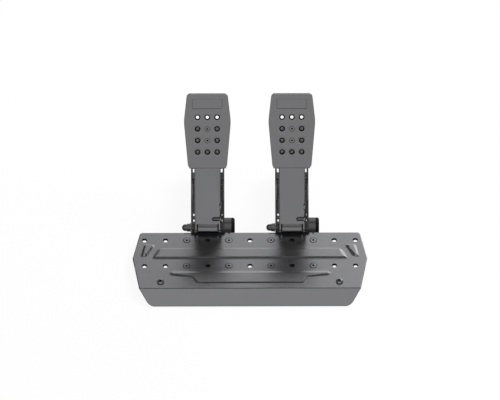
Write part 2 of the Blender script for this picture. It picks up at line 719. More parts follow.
def face_lines(face, holes, recess_mid):
    """Grid lines of the face: rows along the arm and columns across it, closer at edges and recess."""
    top, full = face.bottom + face.height, face.width / 2
    edge = np.array([0.0, 0.08, 0.3, 0.8, 1.6, 2.8, 4.0, 5.3]) * MM
    wall = np.array([-0.15, 0.0, 0.15, 0.3, 0.45, 0.9, 1.5, 2.0]) * MM
    spacing = 2.4 * MM
    columns = [hole[0] + hole_lines(*hole[2:]) for hole in holes]
    rows = [hole[1] + hole_lines(*hole[2:]) for hole in holes]
    for side in (-1, 1):
        columns += [side * (face.recess_w / 2 - wall), side * (full - edge[:6])]
        rows += [recess_mid + side * (face.recess_h / 2 - wall)]
    rows += [face.bottom + edge, top - edge]
    return grid_lines(rows, [(face.bottom, top, spacing)]), grid_lines(columns, [(-full, full, spacing)])


def face_shape(face):
    """Face in the arm's frame, as (x, u, n): a sheet with countersunk holes, a recess and rounded edges.

    The recess is its depth times a smooth step of the distance inside its outline, and the front edge drops
    along a quarter circle. The holes have shallow countersinks and widen toward the back.
    """
    holes = face_holes(face)
    top = face.bottom + face.height
    recess_mid = top - face.recess_at - face.recess_h / 2
    recess_corner, recess_wall, sink_slope = 2 * MM, 0.45 * MM, 0.5
    rows, columns = face_lines(face, holes, recess_mid)
    fixed = np.interp(rows, [face.bottom, face.bottom + 8 * MM, top], [20 * MM, 22.5 * MM, 22.5 * MM])
    half = face_half_width(rows, face)
    front_grid, (back_x, back_u) = drilled_grid(rows, columns, fixed, half, holes, face.hole_flare)
    x, u, bevel, kept, bore = front_grid
    gap = np.minimum(np.minimum(u - face.bottom, top - u), face_half_width(u, face) - np.abs(x))
    w, h = face.recess_w / 2, face.recess_h / 2
    recess = [(-w, recess_mid - h), (w, recess_mid - h), (w, recess_mid + h), (-w, recess_mid + h)]
    sunk = face.recess_depth * smooth(inside_gap(x, u, recess, recess_corner) / recess_wall)
    level = face.thickness - edge_drop(gap, face.edge_r) - sink_slope * bevel - sunk
    front = np.stack([x, u, level], axis=-1)
    back = np.stack([back_x, back_u, edge_drop(gap, face.edge_r / 2)], axis=-1)
    return sheet_skin(front, back, kept, bore)


def add_screws(name, screw, spots, node, finish, axis=Z_AXIS):
    """Screws of one kind with dark sockets; the faces of the socket come first in a screw's shape."""
    dark = np.tile(np.arange(len(screw[1])) < SOCKET_ROWS * TURN_COLUMNS, len(spots))
    add_piece(name, copies(screw, spots, axis), node, dark, (finish, "bore"))


def flat_screw(thread, head, total):
    """Countersunk screw that hangs from its flush head, with a hexagonal socket; in millimetres."""
    deep = (head - thread) / 2
    socket = 0.3 * thread
    return lathe([(-0.8 * deep, 0, HEX), (-0.8 * deep, socket, HEX), (0, socket, HEX), (0, head / 2),
                  (-0.3, head / 2), (-deep, thread / 2), (0.5 - total, thread / 2),
                  (-total, thread / 2 - 0.5), (-total, 0)], 0.12)


def button_screw(thread, head, height, total):
    """Round-headed screw that stands on its seat, with a hexagonal socket; in millimetres."""
    socket = 0.33 * thread
    return lathe([(0.35 * height, 0, HEX), (0.35 * height, socket, HEX), (height, socket, HEX),
                  (height, 0.24 * head), (0.86 * height, 0.36 * head), (0.5 * height, 0.47 * head),
                  (0.15 * height, 0.5 * head), (0, 0.49 * head), (0, thread / 2),
                  (0.6 - total, thread / 2), (-total, thread / 2 - 0.6), (-total, 0)], 0.3)


def flange_nut(bore, flats, flange, flange_t, height):
    """Hexagonal nut on a flange that starts at Z 0, with a bevelled top; in millimetres."""
    return lathe([(0, bore / 2), (0, flange / 2), (flange_t, flange / 2 - 0.3),
                  (flange_t + 0.3, flats / 2, HEX), (height - 0.7, flats / 2, HEX),
                  (height, flats / 2 - 0.3), (height, bore / 2)], 0.2, closed=True)


class PedalFrame:
    """Places and directions of one module, from its joints."""

    def __init__(self, name, module):
        self.name = name
        self.pivot = JOINT_AT[f"{name}_press"]
        self.pin = JOINT_AT[f"{name}_rod_swing"]
        self.block = JOINT_AT[f"{name}_swivel_turn"]
        self.rod = unit(self.block - self.pin)
        self.reach = np.linalg.norm(self.block - self.pin) / MM
        self.up = np.array([0.0, math.cos(module.lean), math.sin(module.lean)])
        self.out = np.array([0.0, -math.sin(module.lean), math.cos(module.lean)])

    def on_arm(self, u, n):
        """Place at a height along the arm and a distance in front of the pivot line, in metres."""
        return self.pivot + u * self.up + n * self.out


def pedal_frames(context):
    return [PedalFrame(name, context.scene.pedal_module) for name in PEDALS]


def wall_lines(module):
    """Inner and outer face of a bracket's wall, from the module's middle in millimetres."""
    return module.wall_in / MM, (module.wall_in + module.wall_sheet) / MM


def box_middle(node):
    """Middle of a node's box."""
    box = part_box(node)
    return (box[0] + box[1]) / 2


def add_turned(pedal, part, shape, place, axis=X_AXIS, side=Y_AXIS, finishes=None):
    """Turned piece of one pedal, for the node of the part."""
    return add_piece(f"{pedal.name}_{part}_turned", placed(shape, place, axis, side), f"{pedal.name}_{part}",
                     finishes=finishes)


class PEDALS_OT_heel_plate(bpy.types.Operator):
    """Makes the pressed heel plate"""

    bl_idname = "pedals.heel_plate"
    bl_label = "Heel plate"

    def execute(self, context):
        plate = context.scene.pedal_plate
        points, faces, marks = plate_shape(plate, plate_rear())
        finishes = ("powder_coat", "bore")
        add_piece("heel_plate_sheet", (points, faces), "heel_plate", marks, finishes, sharp=30.0)
        return {"FINISHED"}


def plate_rear():
    """Y of the plate's rear edge."""
    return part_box("heel_plate")[1].y


class PEDALS_OT_faces(bpy.types.Operator):
    """Makes both pedal faces"""

    bl_idname = "pedals.faces"
    bl_label = "Pedal faces"

    def execute(self, context):
        points, faces, marks = face_shape(context.scene.pedal_face)
        base = context.scene.pedal_module.web_front
        for pedal in pedal_frames(context):
            turn = np.stack([X_AXIS, pedal.up, pedal.out])
            add_piece(f"{pedal.name}_face_plate", (points @ turn + pedal.on_arm(0.0, base), faces),
                      f"{pedal.name}_face", marks, ("anodised_face", "bore"), sharp=28.0)
        return {"FINISHED"}


class PEDALS_OT_bent_pieces(bpy.types.Operator):
    """Rounds the edges of the arms, brackets, clips, blocks and sensor housings"""

    bl_idname = "pedals.bent_pieces"
    bl_label = "Bent and moulded pieces"

    def execute(self, context):
        module, face = context.scene.pedal_module, context.scene.pedal_face
        edges = {"arm": 0.45, "bracket": 0.4, "drive_clip": 0.25, "trunnion": 0.6,
                 "sensor_housing": 0.4, "sensor_lid": 0.15}
        finishes = {"sensor_lid": ("lid_plastic",)}
        for pedal in pedal_frames(context):
            made = {part: whole_copy(f"{pedal.name}_{part}", finishes.get(part)) for part in edges}
            finish_arm(made["arm"], pedal, module, face)
            finish_clip(made["drive_clip"], pedal, module)
            finish_housing(made["sensor_housing"])
            hide_from_mirrors(made["bracket"], made["sensor_housing"], made["sensor_lid"])
            for part, width in edges.items():
                round_edges(made[part], width * MM)
        round_edges(whole_copy("sensor_sockets"), 0.3 * MM)
        return {"FINISHED"}


def finish_housing(piece):
    """Blackens the end of a sensor housing that its lid covers."""
    rim = read_rows(piece.data.vertices, "co")[:, 0].max() - LID_SKIRT
    cut_across(piece, rim * X_AXIS, X_AXIS)
    repaint(piece, "lid_plastic", read_rows(piece.data.polygons, "center")[:, 0] > rim)


def finish_clip(piece, pedal, module):
    """Thins the clip's tongue and hook in the arm's slots, and blackens it beside and behind the web."""
    side, sunk_by = pedal.pivot[0] + module.arm_w / 2, 0.6 * MM
    cut_across(piece, side * X_AXIS, X_AXIS)
    mesh = piece.data
    places = read_rows(mesh.vertices, "co")
    height = (places - pedal.pivot) @ pedal.up
    middle = np.where(height < CLIP_PARTING, TONGUE_AT, HOOK_AT)
    inside = places[:, 0] < side - NEAR_LINE
    places += np.where(inside, CLIP_THINNING * (middle - height), 0.0)[:, None] * pedal.up
    mesh.vertices.foreach_set("co", places.ravel())
    middles = read_rows(mesh.polygons, "center")
    repaint(piece, "black_steel", middles[:, 0] > side)
    sunk = (middles - pedal.pivot) @ pedal.out < module.web_front - sunk_by
    repaint(piece, "bore", sunk & (middles[:, 0] < side))


def finish_arm(piece, pedal, module, face):
    """Cuts the arm's web at the face, paints it, widens its slots and rounds its bends."""
    seam = face.bottom - FACE_SEAM
    for line in (face.bottom, seam):
        cut_across(piece, pedal.on_arm(line, 0.0), pedal.up)
    paint_arm(piece, pedal, module, face.bottom, seam)
    widen_slots(piece.data, pedal)
    round_bends(piece, arm_bends(piece.data, pedal, module), module.bend_r)


def paint_arm(piece, pedal, module, face_bottom, seam):
    """Darkens the arm's slots, its tab's slope and the seam below the face, and bares the web behind it."""
    polygons = piece.data.polygons
    middles, normals = read_rows(polygons, "center") - pedal.pivot, read_rows(polygons, "normal")
    height, front = middles @ pedal.up, middles @ pedal.out
    faces_up, faces_out = normals @ pedal.up, normals @ pedal.out
    steep, flat = 0.3, 0.9
    web_back = module.web_front - module.arm_sheet
    in_web = (front < module.web_front - NEAR_SURFACE) & (front > web_back + NEAR_SURFACE)
    at_slots = (height > SLOTS_FROM) & (height < SLOTS_TO) & (middles[:, 0] > 0)
    in_slot = in_web & at_slots & (np.abs(faces_out) < steep)
    in_tab = (height > 0) & (height < TAB_TO)
    repaint(piece, "tab_bend", in_tab & (faces_up < -steep) & (faces_out > steep))
    on_front = (faces_out > flat) & (front > module.web_front - NEAR_SURFACE)
    repaint(piece, "hidden_web", on_front & (height > face_bottom))
    repaint(piece, "bore", in_slot | on_front & (height > seam) & (height < face_bottom))


def widen_slots(mesh, pedal):
    """Widens the arm's slots about the clip's tongue and hook."""
    places = read_rows(mesh.vertices, "co") - pedal.pivot
    height = places @ pedal.up
    slot_x, slot_half = 12 * MM, 7.9 * MM
    for middle, reach in ((TONGUE_AT, 4 * MM), (HOOK_AT, 6 * MM)):
        at_slot = (np.abs(height - middle) < reach) & (np.abs(places[:, 0] - slot_x) < slot_half)
        places += np.where(at_slot, SLOT_WIDENING * (height - middle), 0.0)[:, None] * pedal.up
    mesh.vertices.foreach_set("co", (places + pedal.pivot).ravel())


def arm_bends(mesh, pedal, module):
    """Which edges of an arm are bends: the long ones at its front corners and those across its tab."""
    places = read_rows(mesh.vertices, "co") - pedal.pivot
    at_corner = ((np.abs(places @ pedal.out - module.web_front) < NEAR_LINE)
                 & (np.abs(np.abs(places[:, 0]) - module.arm_w / 2) < NEAR_LINE))
    ends = read_rows(mesh.edges, "vertices", 2, np.int32)
    first, last = places[ends[:, 0]], places[ends[:, 1]]
    along = np.abs(last - first)
    long_bend = at_corner[ends].all(axis=1) & (np.sign(first[:, 0]) == np.sign(last[:, 0]))
    height = (places @ pedal.up)[ends]
    in_tab = (height.max(axis=1) < TAB_TO) & (height.min(axis=1) > TAB_FROM)
    level = along[:, 1:].max(axis=1) < 0.01 * MM
    return long_bend | in_tab & level & (along[:, 0] > TAB_BEND_LEN)


class PEDALS_OT_screws(bpy.types.Operator):
    """Makes the plate's screws and nuts, the brace screws, the sensor screws and the faces' screws"""

    bl_idname = "pedals.screws"
    bl_label = "Screws and nuts"

    def execute(self, context):
        scene, pedals = context.scene, pedal_frames(context)
        add_plate_screws(scene.pedal_plate, scene.pedal_module, pedals)
        add_module_screws(scene.pedal_module, pedals)
        add_face_screws(scene.pedal_face, scene.pedal_module, pedals)
        return {"FINISHED"}


def add_plate_screws(plate, module, pedals):
    """Flush screws of the plate with their nuts, and the screws of the front feet."""
    rear = plate_rear()
    rows = (plate.rear_row, plate.rear_row + plate.row_gap)
    spots = np.array([(pedal.pivot[0] + side * plate.pitch, rear - row, plate.top)
                      for pedal in pedals for side in (-1, 1) for row in rows])
    screw = flat_screw(thread=5, head=9.0, total=11.5)
    add_screws("plate_flush_screws", screw, spots, "plate_screws", "powder_coat")
    nut = flange_nut(bore=5.1, flats=8, flange=13, flange_t=1.2, height=5)
    under = spots - (plate.top - module.foot_h) * Z_AXIS
    add_piece("plate_flange_nuts", copies(nut, under, -Z_AXIS), "plate_nuts")
    feet = [(side * plate.foot_x, rear - plate.foot_at, plate.top) for side in (-1, 1)]
    screw = button_screw(thread=6, head=10.5, height=3.2, total=10.6)
    add_screws("foot_button_screws", screw, feet, "front_foot_screws", "powder_coat")


def add_module_screws(module, pedals):
    """Screws of the braces in the brackets' walls and of the sensors' lids."""
    wall_out = module.wall_in + module.wall_sheet
    middle = box_middle("brace_tubes")
    screw = flat_screw(thread=5, head=10, total=14)
    ends = [placed(screw, (pedal.pivot[0] + side * wall_out, middle.y, middle.z), side * X_AXIS, Y_AXIS)
            for pedal in pedals for side in (-1, 1)]
    add_piece("brace_flat_screws", joined(*ends), "brace_screws")
    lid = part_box("throttle_sensor_lid")[1].x - pedals[1].pivot[0]
    behind, heights = 8.4 * Y_AXIS, (3.4, -5.4)
    shown = [pedal.pivot + lid * X_AXIS + (behind + up * Z_AXIS) * MM for pedal in pedals for up in heights]
    screw = flat_screw(thread=3, head=5.6, total=17.3)
    add_piece("sensor_flat_screws", copies(screw, shown, X_AXIS), "sensor_screws")


def add_face_screws(face, module, pedals):
    """Screws in the faces and their nuts behind the arms' webs."""
    front, behind = module.web_front + face.thickness, module.web_front - module.arm_sheet
    heights = [face_row(face, i) for i in FACE_SCREW_ROWS]
    screw = flat_screw(thread=4, head=6.8, total=12.5)
    nut = flange_nut(bore=4.1, flats=7, flange=10, flange_t=1.2, height=4.5)
    for pedal in pedals:
        name = pedal.name
        heads = [pedal.on_arm(u, front) for u in heights]
        add_screws(f"{name}_face_flat_screws", screw, heads, f"{name}_face_screws",
                   "anodised_face", pedal.out)
        seats = [pedal.on_arm(u, behind) for u in heights]
        add_piece(f"{name}_face_flange_nuts", copies(nut, seats, -pedal.out), f"{name}_face_nuts")


class PEDALS_OT_feet(bpy.types.Operator):
    """Makes the rubber feet"""

    bl_idname = "pedals.feet"
    bl_label = "Feet"

    def execute(self, context):
        plate = context.scene.pedal_plate
        rear_r, rear_x = 9 * MM, 12 * MM
        front = lathe([(4.4, 0), (4.4, 3.05), (13, 3.05), (13, 10.2), (12, 11), (1, 9.4), (0, 8.6),
                       (0, 3), (1.2, 2.4), (1.2, 0)], 0.6)
        rear = lathe([(15.4, 0), (15.4, 3), (13, 4.5), (13, 3), (10.5, 3), (10.5, 9), (9.6, 9), (1, 7.4),
                      (0, 6.6), (0, 2.6), (1.0, 2.0), (1.0, 0)], 0.5)
        spots = [(side * plate.foot_x, plate_rear() - plate.foot_at, 0.0) for side in (-1, 1)]
        add_piece("front_rubber_feet", copies(front, spots), "front_feet")
        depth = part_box("rear_feet")[1].y - rear_r
        spots = [(pedal.pivot[0] + side * rear_x, depth, 0.0)
                 for pedal in pedal_frames(context) for side in (-1, 1)]
        add_piece("rear_rubber_feet", copies(rear, spots), "rear_feet")
        return {"FINISHED"}


class PEDALS_OT_pivots(bpy.types.Operator):
    """Makes the axles, bushes, washers, sleeves, dome nuts and rod pins"""

    bl_idname = "pedals.pivots"
    bl_label = "Pivots"

    def execute(self, context):
        module = context.scene.pedal_module
        wall_in, wall_out = wall_lines(module)
        arm, sheet, axle_d = module.arm_w / 2 / MM, module.arm_sheet / MM, module.axle_d / MM
        bore = axle_d + 0.1
        pedals = pedal_frames(context)
        bush = lathe([(wall_in - 0.7, bore / 2), (wall_in - 0.7, 5.95), (wall_in, 5.95), (wall_in, 5.5),
                      (wall_out, 5.5), (wall_out, bore / 2)], 0.2, closed=True)
        bushes = [both_ways(bush, pedal.pivot) for pedal in pedals]
        add_piece("flanged_bushes", joined(*bushes), "pivot_bushes")
        middle = box_middle("brace_tubes")
        spots = [(pedal.pivot[0], middle.y, middle.z) for pedal in pedals]
        tube = ring(5.1, 10, -wall_in, wall_in)
        add_piece("brace_spacer_tubes", copies(tube, spots, X_AXIS), "brace_tubes")
        nut, pin, spacer = dome_nut(), rod_pin(arm), ring(6.1, 10, 6.15, arm - sheet)
        shapes = {"axle": axle(wall_out, axle_d), "axle_magnet": axle_magnet(wall_out),
                  "thrust_washer": ring(bore, 13, -arm - 1.5, -arm, 0.25),
                  "pivot_sleeve": ring(bore, 11, sheet + 0.05 - arm, arm - sheet - 0.05)}
        for pedal in pedals:
            name = pedal.name
            for part, shape in shapes.items():
                add_turned(pedal, part, shape, pedal.pivot)
            nut_seat = pedal.pivot - (wall_out + PLAY) * MM * X_AXIS
            cap = add_turned(pedal, "dome_nut", nut, nut_seat, -X_AXIS, pedal.up, ("dull_steel",))
            hide_from_mirrors(cap)
            add_turned(pedal, "rod_pin", pin, pedal.pin)
            add_piece(f"{name}_pin_spacer_tubes", both_ways(spacer, pedal.pin), f"{name}_pin_spacers")
        return {"FINISHED"}


def axle(wall_out, axle_d):
    """Axle with a threaded left end and a seat for the magnet in its right one, in millimetres."""
    thread_end, shoulder = -wall_out - 8.7, wall_out + PLAY
    seat, rim = wall_out - 0.7, wall_out + 1.5
    return lathe([(thread_end, 0), (thread_end, 2.6), (thread_end + 0.4, 3), (-shoulder, 3),
                  (-shoulder, axle_d / 2), (shoulder, axle_d / 2), (shoulder, 4.5), (rim, 4.5), (rim, 2.5),
                  (seat, 2.5), (seat, 0)], 0.2)


def axle_magnet(wall_out):
    """Round magnet in the end of an axle, in millimetres."""
    seat, rim = wall_out - 0.7, wall_out + 1.5
    return lathe([(seat, 0), (seat, 2.5), (rim, 2.5), (rim, 0)], 0.25)


def dome_nut():
    """Hexagonal nut on a flange with a round cap, in millimetres."""
    cap_at, cap_r = 7.85, 4.85
    cap = [(cap_at + cap_r * math.sin(a), max(cap_r * math.cos(a), 0.0), ROUND)
           for a in np.radians(np.arange(0, 91, 10))]
    base = eased([(9.2, 0), (9.2, 3.05), (0, 3.05), (0, 6.5), (1.2, 6.3), (1.3, 5, HEX), (5.1, 5, HEX),
                  (5.7, 4.7), (6.2, cap_r), (7.6, cap_r)], 0.25)
    return turned(np.concatenate([base, cap]))


def rod_pin(arm):
    """Pin with a head and a retaining ring, in millimetres; arm is half the arm's width."""
    return lathe([(-arm - 1.2, 0), (-arm - 1.2, 5), (-arm, 5), (-arm, 3), (arm + 0.05, 3), (arm + 0.05, 5),
                  (arm + 0.9, 5), (arm + 0.9, 3), (arm + 1.2, 3), (arm + 1.2, 0)], 0.3)


def threaded_rod(start, stop, radius, pitch, threads, columns=32):
    """Rod along Z with cut threads and a bevelled end, in millimetres.

    In a threaded stretch the radius is drawn in by the depth times (1 - cos) / 2 of the turns along the
    pitch less the turns round the rod; the depth fades in and out over one pitch.
    """
    thread_depth, end_bevel, end_len = 0.55, 0.6, 0.8
    fine = np.concatenate([np.arange(low, high, pitch / 6) for low, high in threads])
    plain = np.array([start, start + 0.01, stop - end_len, stop])
    height = np.unique(np.round(np.concatenate([plain, fine]), 4))
    turn = np.linspace(0.0, 2.0 * np.pi, columns, endpoint=False)
    fades = [smooth((height - low) / pitch) * smooth((high - height) / pitch) for low, high in threads]
    depth = sum(fades) * thread_depth
    wave = 0.5 - 0.5 * np.cos(2.0 * np.pi * height[:, None] / pitch - turn[None, :])
    at_end = np.clip((height - stop + end_len) / end_len, 0.0, 1.0)[:, None]
    reach = radius - depth[:, None] * wave - end_bevel * at_end
    height = np.concatenate([height[:1], height, height[-1:]])
    reach = np.concatenate([0.0 * reach[:1], reach, 0.0 * reach[:1]])
    return swept_round(reach, turn, height)


def unit_rows(vectors):
    """Each row divided by its length."""
    return vectors / np.linalg.norm(vectors, axis=1)[:, None]


def spring_shape(diameter, wire, turns, total, rings=28, sides=14):
    """Coil of round wire along Z, in metres: closed end turns, open turns between them and straight tips.

    At t turns the wire's middle lies on a circle at the angle 2 pi t. It climbs the wire and a small gap a
    turn in the first and the last turn and evenly in the others. A circle of the wire's radius is carried
    along this path, square to it.
    """
    seat, closed = 0.15 * MM, wire + 0.6 * MM
    opened = (total - wire - 2 * seat - 2 * closed) / (turns - 2)
    t = np.linspace(0.0, turns, turns * rings + 1)
    climb = np.interp(t, [0, 1, turns - 1, turns], np.cumsum([0, closed, opened * (turns - 2), closed]))
    kernel = np.hanning(rings // 2 + 1)
    padded = np.pad(climb, rings // 4, mode="reflect", reflect_type="odd")
    soft = np.convolve(padded, kernel / kernel.sum(), "valid")
    radius, turned_by = (diameter - wire) / 2, 2 * np.pi * t
    path = np.stack([radius * np.cos(turned_by), radius * np.sin(turned_by), wire / 2 + seat + soft], axis=1)
    along = Y_AXIS * wire
    path = np.concatenate([path[:1] - along, path, path[-1:] + along])
    ahead = unit_rows(np.gradient(path, axis=0))
    side = unit_rows(np.cross(ahead, unit_rows(path * [1.0, 1.0, 0.0])))
    front = np.cross(side, ahead)
    angle_round = np.linspace(0.0, 2.0 * np.pi, sides, endpoint=False)[None, :, None]
    circle = wire / 2 * (np.cos(angle_round) * front[:, None] + np.sin(angle_round) * side[:, None])
    tube = path[:, None] + circle
    ends = np.repeat(path[[0, -1], None], sides, axis=1)
    points = np.concatenate([ends[:1], tube, ends[1:]])
    return points.reshape(-1, 3), grid_quads(len(points), sides, loop=True)


class PEDALS_OT_spring_rods(bpy.types.Operator):
    """Makes the spring rods with their nuts, seats and bolts"""

    bl_idname = "pedals.spring_rods"
    bl_label = "Spring rods"

    def execute(self, context):
        module = context.scene.pedal_module
        rod_r, half_block = module.rod_d / 2 / MM, module.block_depth / 2 / MM
        preload, bore = module.preload_at / MM, rod_r + 0.05
        bolt = shoulder_bolt(*wall_lines(module))
        stop_nut = lathe([(0, bore), (0, 8.5), (1.5, 8.5), (1.55, 6.5, HEX), (5.6, 6.5, HEX), (6.3, 6),
                          (7.4, 6), (8.0, 5.2), (8.0, bore)], 0.25, closed=True)
        for pedal in pedal_frames(context):
            name = pedal.name
            seat_d = getattr(module, f"{name}_spring_d") / MM + 2
            stop_at = pedal.reach + half_block + PLAY
            rod_end = stop_at + 9.5
            eye = placed(ring(6.1, 16, -6, 6, 0.9), pedal.pin, X_AXIS, Y_AXIS)
            shaft = threaded_rod(5.0, rod_end, rod_r, module.thread_pitch / MM,
                                 ((preload - 2, preload + 10), (pedal.reach - 14, rod_end - 0.5)))
            add_piece(f"{name}_rod_turned", joined(eye, placed(shaft, pedal.pin, pedal.rod)), f"{name}_rod")
            nut = lathe([(0, bore), (0, 7.6), (0.8, 8, HEX), (5.4, 8, HEX), (5.6, seat_d / 2 - 0.3),
                         (PRELOAD_NUT_H, seat_d / 2), (PRELOAD_NUT_H, bore)], 0.25, closed=True)
            seat = ring(10.8, seat_d, -half_block - SPRING_SEAT_T, -half_block)
            for part, shape, place in (("preload_nut", nut, pedal.pin + preload * MM * pedal.rod),
                                       ("stop_nut", stop_nut, pedal.pin + stop_at * MM * pedal.rod),
                                       ("spring_seat", seat, pedal.block)):
                add_turned(pedal, part, shape, place, pedal.rod, X_AXIS)
            bolts = both_ways(bolt, pedal.block, pedal.rod)
            add_piece(f"{name}_shoulder_bolts", bolts, f"{name}_trunnion_bolts")
        return {"FINISHED"}


def shoulder_bolt(wall_in, wall_out):
    """Bolt through a bracket's wall with a hexagonal socket in its flat head, in millimetres."""
    head, socket = wall_out + 2.5, wall_out + 1.0
    seat, shoulder, tip = wall_out + PLAY, wall_in - PLAY, wall_in - 9
    return lathe([(socket, 0, HEX), (socket, 2, HEX), (head, 2, HEX), (head, 5.5), (seat, 5.5), (seat, 4),
                  (shoulder, 4), (shoulder, 3), (tip + 0.5, 3), (tip, 2.5), (tip, 0)], 0.25)


class PEDALS_OT_springs(bpy.types.Operator):
    """Makes the coil springs, which shorten as the pedals are pressed"""

    bl_idname = "pedals.springs"
    bl_label = "Springs"

    def execute(self, context):
        module = context.scene.pedal_module
        for pedal in pedal_frames(context):
            name = pedal.name
            diameter, wire, turns, stroke = [getattr(module, f"{name}_{part}")
                                             for part in ("spring_d", "wire", "turns", "stroke")]
            start = module.preload_at + PRELOAD_NUT_H * MM
            total = pedal.reach * MM - module.block_depth / 2 - SPRING_SEAT_T * MM - start
            front = pedal.pin + start * pedal.rod
            coil = placed(spring_shape(diameter, wire, turns, total), front, pedal.rod)
            piece = add_piece(f"{name}_spring_coil", coil, f"{name}_spring", sharp=60.0)
            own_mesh(piece)
        return {"FINISHED"}


def node(tree, kind, inputs=None, **options):
    """Adds a shader node; an input is a value or another node's output."""
    made = tree.nodes.new(kind)
    for key, value in options.items():
        setattr(made, key, value)
    for key, value in (inputs or {}).items():
        if isinstance(value, bpy.types.NodeSocket):
            tree.links.new(value, made.inputs[key])
        else:
            made.inputs[key].default_value = value
    return made


def math_node(tree, operation, *values):
    """Output of a math node on one or two values."""
    return node(tree, "ShaderNodeMath", dict(enumerate(values)), operation=operation).outputs[0]


def noise(tree, feature, detail=2.0, stretch=(1.0, 1.0, 1.0)):
    """Noise on object coordinates, by the size of its features in metres."""
    place = node(tree, "ShaderNodeTexCoord").outputs["Object"]
    mapped = node(tree, "ShaderNodeMapping", {"Vector": place, "Scale": stretch}).outputs["Vector"]
    made = node(tree, "ShaderNodeTexNoise", {
        "Vector": mapped, "Scale": 1.0 / feature, "Detail": detail, "Roughness": 0.5})
    return made.outputs["Fac"]


def ramp(tree, value, start, stop, low=1.0, high=0.0, kind="SMOOTHSTEP"):
    """Goes from low to high, smoothly if not told otherwise, as the value goes from start to stop."""
    limits = {"Value": value, "From Min": start, "From Max": stop, "To Min": low, "To Max": high}
    return node(tree, "ShaderNodeMapRange", limits, interpolation_type=kind).outputs["Result"]


def spread(tree, value, low, high):
    """Maps the middle of a noise to a range."""
    return ramp(tree, value, 0.3, 0.7, low, high, "LINEAR")


def tinted(tree, colour, value, contrast):
    """The colour, made darker and lighter by contrast as the value goes from 0 to 1."""
    dark = [c * (1.0 - contrast) for c in colour] + [1.0]
    light = [min(1.0, c * (1.0 + contrast)) for c in colour] + [1.0]
    dark_input, light_input, mixed_output = 6, 7, 2
    mix = {"Factor": value, dark_input: dark, light_input: light}
    return node(tree, "ShaderNodeMix", mix, data_type="RGBA").outputs[mixed_output]


def blank_material(name):
    """New material with an empty node tree."""
    made = bpy.data.materials.new(name)
    made.use_nodes = True
    made.node_tree.nodes.clear()
    return made


def surface(name, colour, metallic, roughness, grain, bump, drift=0.06, rough_drift=0.05,
            stretch=(1.0, 1.0, 1.0), **sockets):
    """Finish with slow drifts of tone and gloss and a fine grain; grain is the grain's size in metres."""
    made = blank_material(f"{name}_finish")
    tree = made.node_tree
    slow = noise(tree, 40 * grain, detail=3.0)
    fine = noise(tree, grain, stretch=stretch)
    mixed = math_node(tree, "MULTIPLY", math_node(tree, "ADD", slow, fine), 0.5)
    relief = node(tree, "ShaderNodeBump", {"Height": fine, "Strength": bump, "Distance": 0.2 * grain})
    shader = node(tree, "ShaderNodeBsdfPrincipled", {
        "Base Color": tinted(tree, colour, spread(tree, mixed, 0.0, 1.0), drift),
        "Metallic": metallic,
        "Roughness": spread(tree, slow, roughness - rough_drift, roughness + rough_drift),
        "Normal": relief.outputs["Normal"], **sockets})
    node(tree, "ShaderNodeOutputMaterial", {"Surface": shader.outputs["BSDF"]})


def finish_named(name):
    return bpy.data.materials[f"{name}_finish"]


def make_finishes(colours):
    """One material for each slot of the record, and some for single pieces and for bores."""
    surface("powder_coat", colours.coat, 1.0, 0.25, 0.5 * MM, 0.03, drift=0.03, rough_drift=0.02)
    surface("anodised_face", colours.face, 1.0, 0.44, 0.25 * MM, 0.05, drift=0.03, rough_drift=0.02)
    surface("bore", colours.bore, 0.0, 0.75, 0.25 * MM, 0.10, **{"Specular IOR Level": 0.15})
    surface("hidden_web", colours.web, 0.0, 0.6, 0.4 * MM, 0.08)
    surface("tab_bend", colours.bend, 0.0, 0.6, 0.4 * MM, 0.08)
    surface("black_steel", colours.oxide, 0.85, 0.36, 0.4 * MM, 0.08)
    surface("dull_steel", colours.dull, 1.0, 0.34, 0.4 * MM, 0.06)
    surface("zinc_steel", colours.zinc, 1.0, 0.30, 0.6 * MM, 0.05, stretch=(1.0, 0.2, 1.0))
    surface("bronze", colours.bronze, 1.0, 0.42, 0.3 * MM, 0.15, drift=0.15)
    surface("black_plastic", colours.plastic, 0.0, 0.34, 0.35 * MM, 0.12, **{"Specular IOR Level": 0.9})
    surface("lid_plastic", colours.lid, 0.0, 0.5, 0.35 * MM, 0.12, **{"Specular IOR Level": 0.1})
    surface("board", colours.board, 0.0, 0.35, 1.2 * MM, 0.10, drift=0.3)
    surface("rubber", colours.rubber, 0.0, 0.78, 0.5 * MM, 0.25)
    surface("spring_coat", colours.spring, 0.0, 0.28, 1.0 * MM, 0.05, **{"Coat Weight": 0.4})


class PEDALS_OT_finishes(bpy.types.Operator):
    """Makes the finishes and gives every node of the frame the one of its slot"""

    bl_idname = "pedals.finishes"
    bl_label = "Finishes"

    def execute(self, context):
        make_finishes(context.scene.pedal_finish)
        for name, piece in frame["nodes"].items():
            piece.data.materials.clear()
            piece.data.materials.append(finish_named(SLOT_OF[name]))
        return {"FINISHED"}


class PEDALS_OT_stage(bpy.types.Operator):
    """Makes the floor, the light and the camera"""

    bl_idname = "pedals.stage"
    bl_label = "Stage"

    def execute(self, context):
        settings = context.scene.pedal_stage
        make_floor()
        make_back_wall(settings)
        make_sky(context.scene, settings)
        make_key_lamp(settings.key_power)
        make_camera(context.scene, settings)
        context.scene.view_settings.view_transform = "Standard"
        return {"FINISHED"}


def seen_rays(tree):
    """1 for rays of the camera and those that go through a surface, 0 for the others."""
    path = node(tree, "ShaderNodeLightPath").outputs
    return math_node(tree, "MAXIMUM", path["Is Camera Ray"], path["Is Transmission Ray"])


def glow(tree, level):
    """Output of a white glow of a strength."""
    return node(tree, "ShaderNodeEmission", {"Color": WHITE, "Strength": level}).outputs[0]


